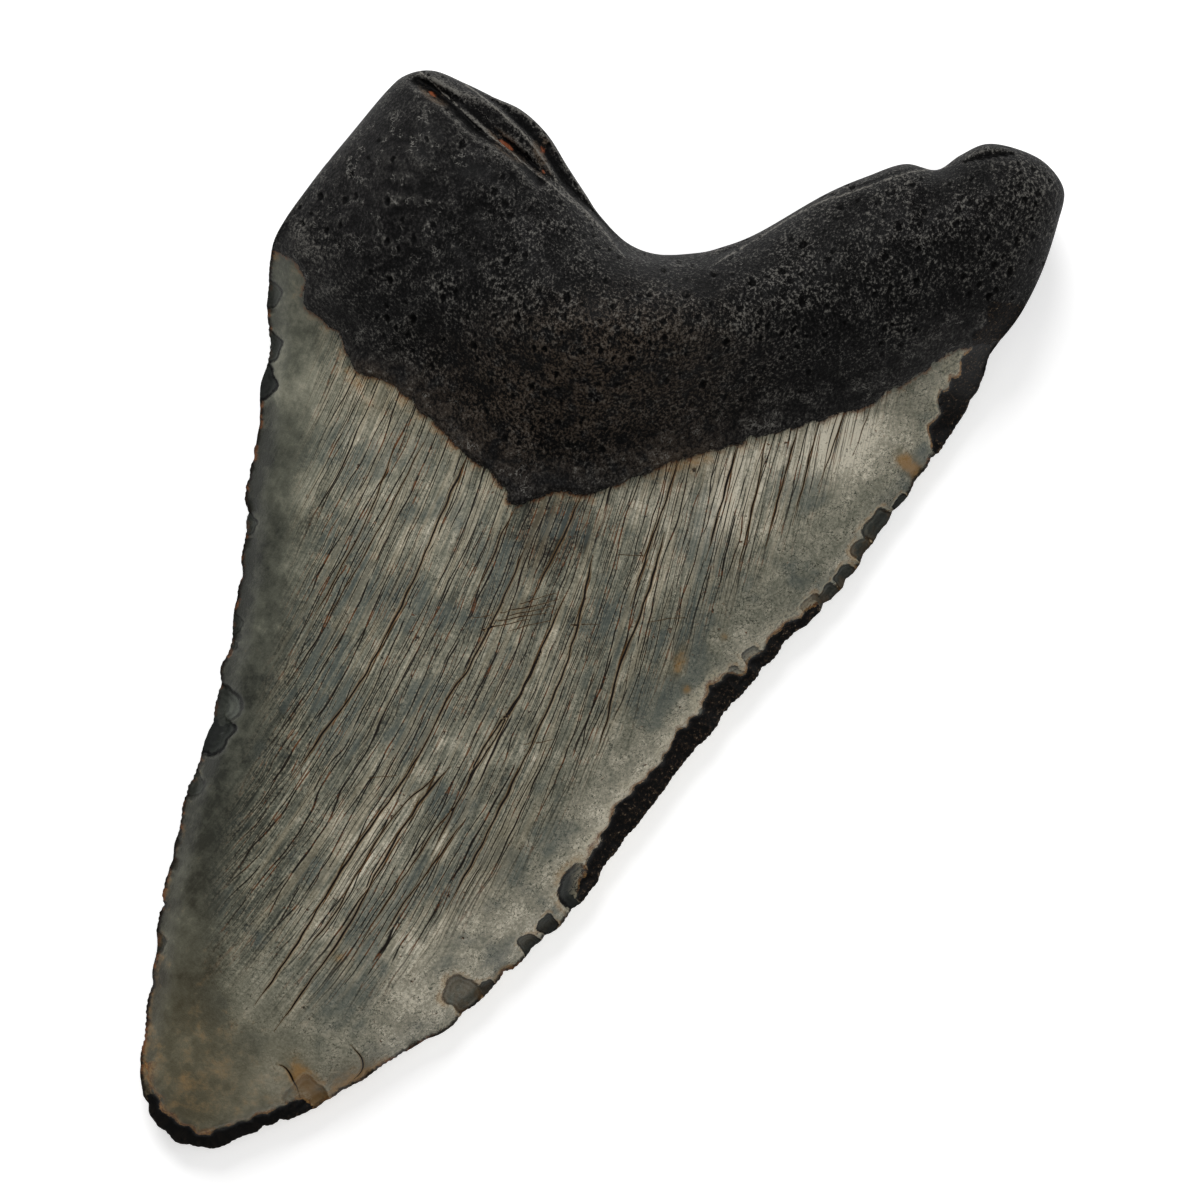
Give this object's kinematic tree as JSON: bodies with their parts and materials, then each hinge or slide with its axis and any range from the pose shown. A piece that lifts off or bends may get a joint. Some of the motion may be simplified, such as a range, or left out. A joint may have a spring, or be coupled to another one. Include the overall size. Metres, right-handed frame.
{
  "type": "fossil shark tooth",
  "caption": "Large fossil shark tooth lying on its flat outer face: a grey triangular enamel blade with a thick black two-lobed root.",
  "frame": {"origin": "on the surface that the tooth lies on, under the middle of its plan", "axes": "+Y from the tip to the root, with the ends of both root lobes on one level; +Z out of the domed inner face; +X towards the longer root lobe"},
  "size_m": [0.0953, 0.1301, 0.0279],
  "materials": {
    "tooth": "grey-green glossy enamel over the blade, matt near-black porous bone on the root"
  },
  "bodies": {
    "root": {"tooth": "tooth"}
  },
  "joints": []
}
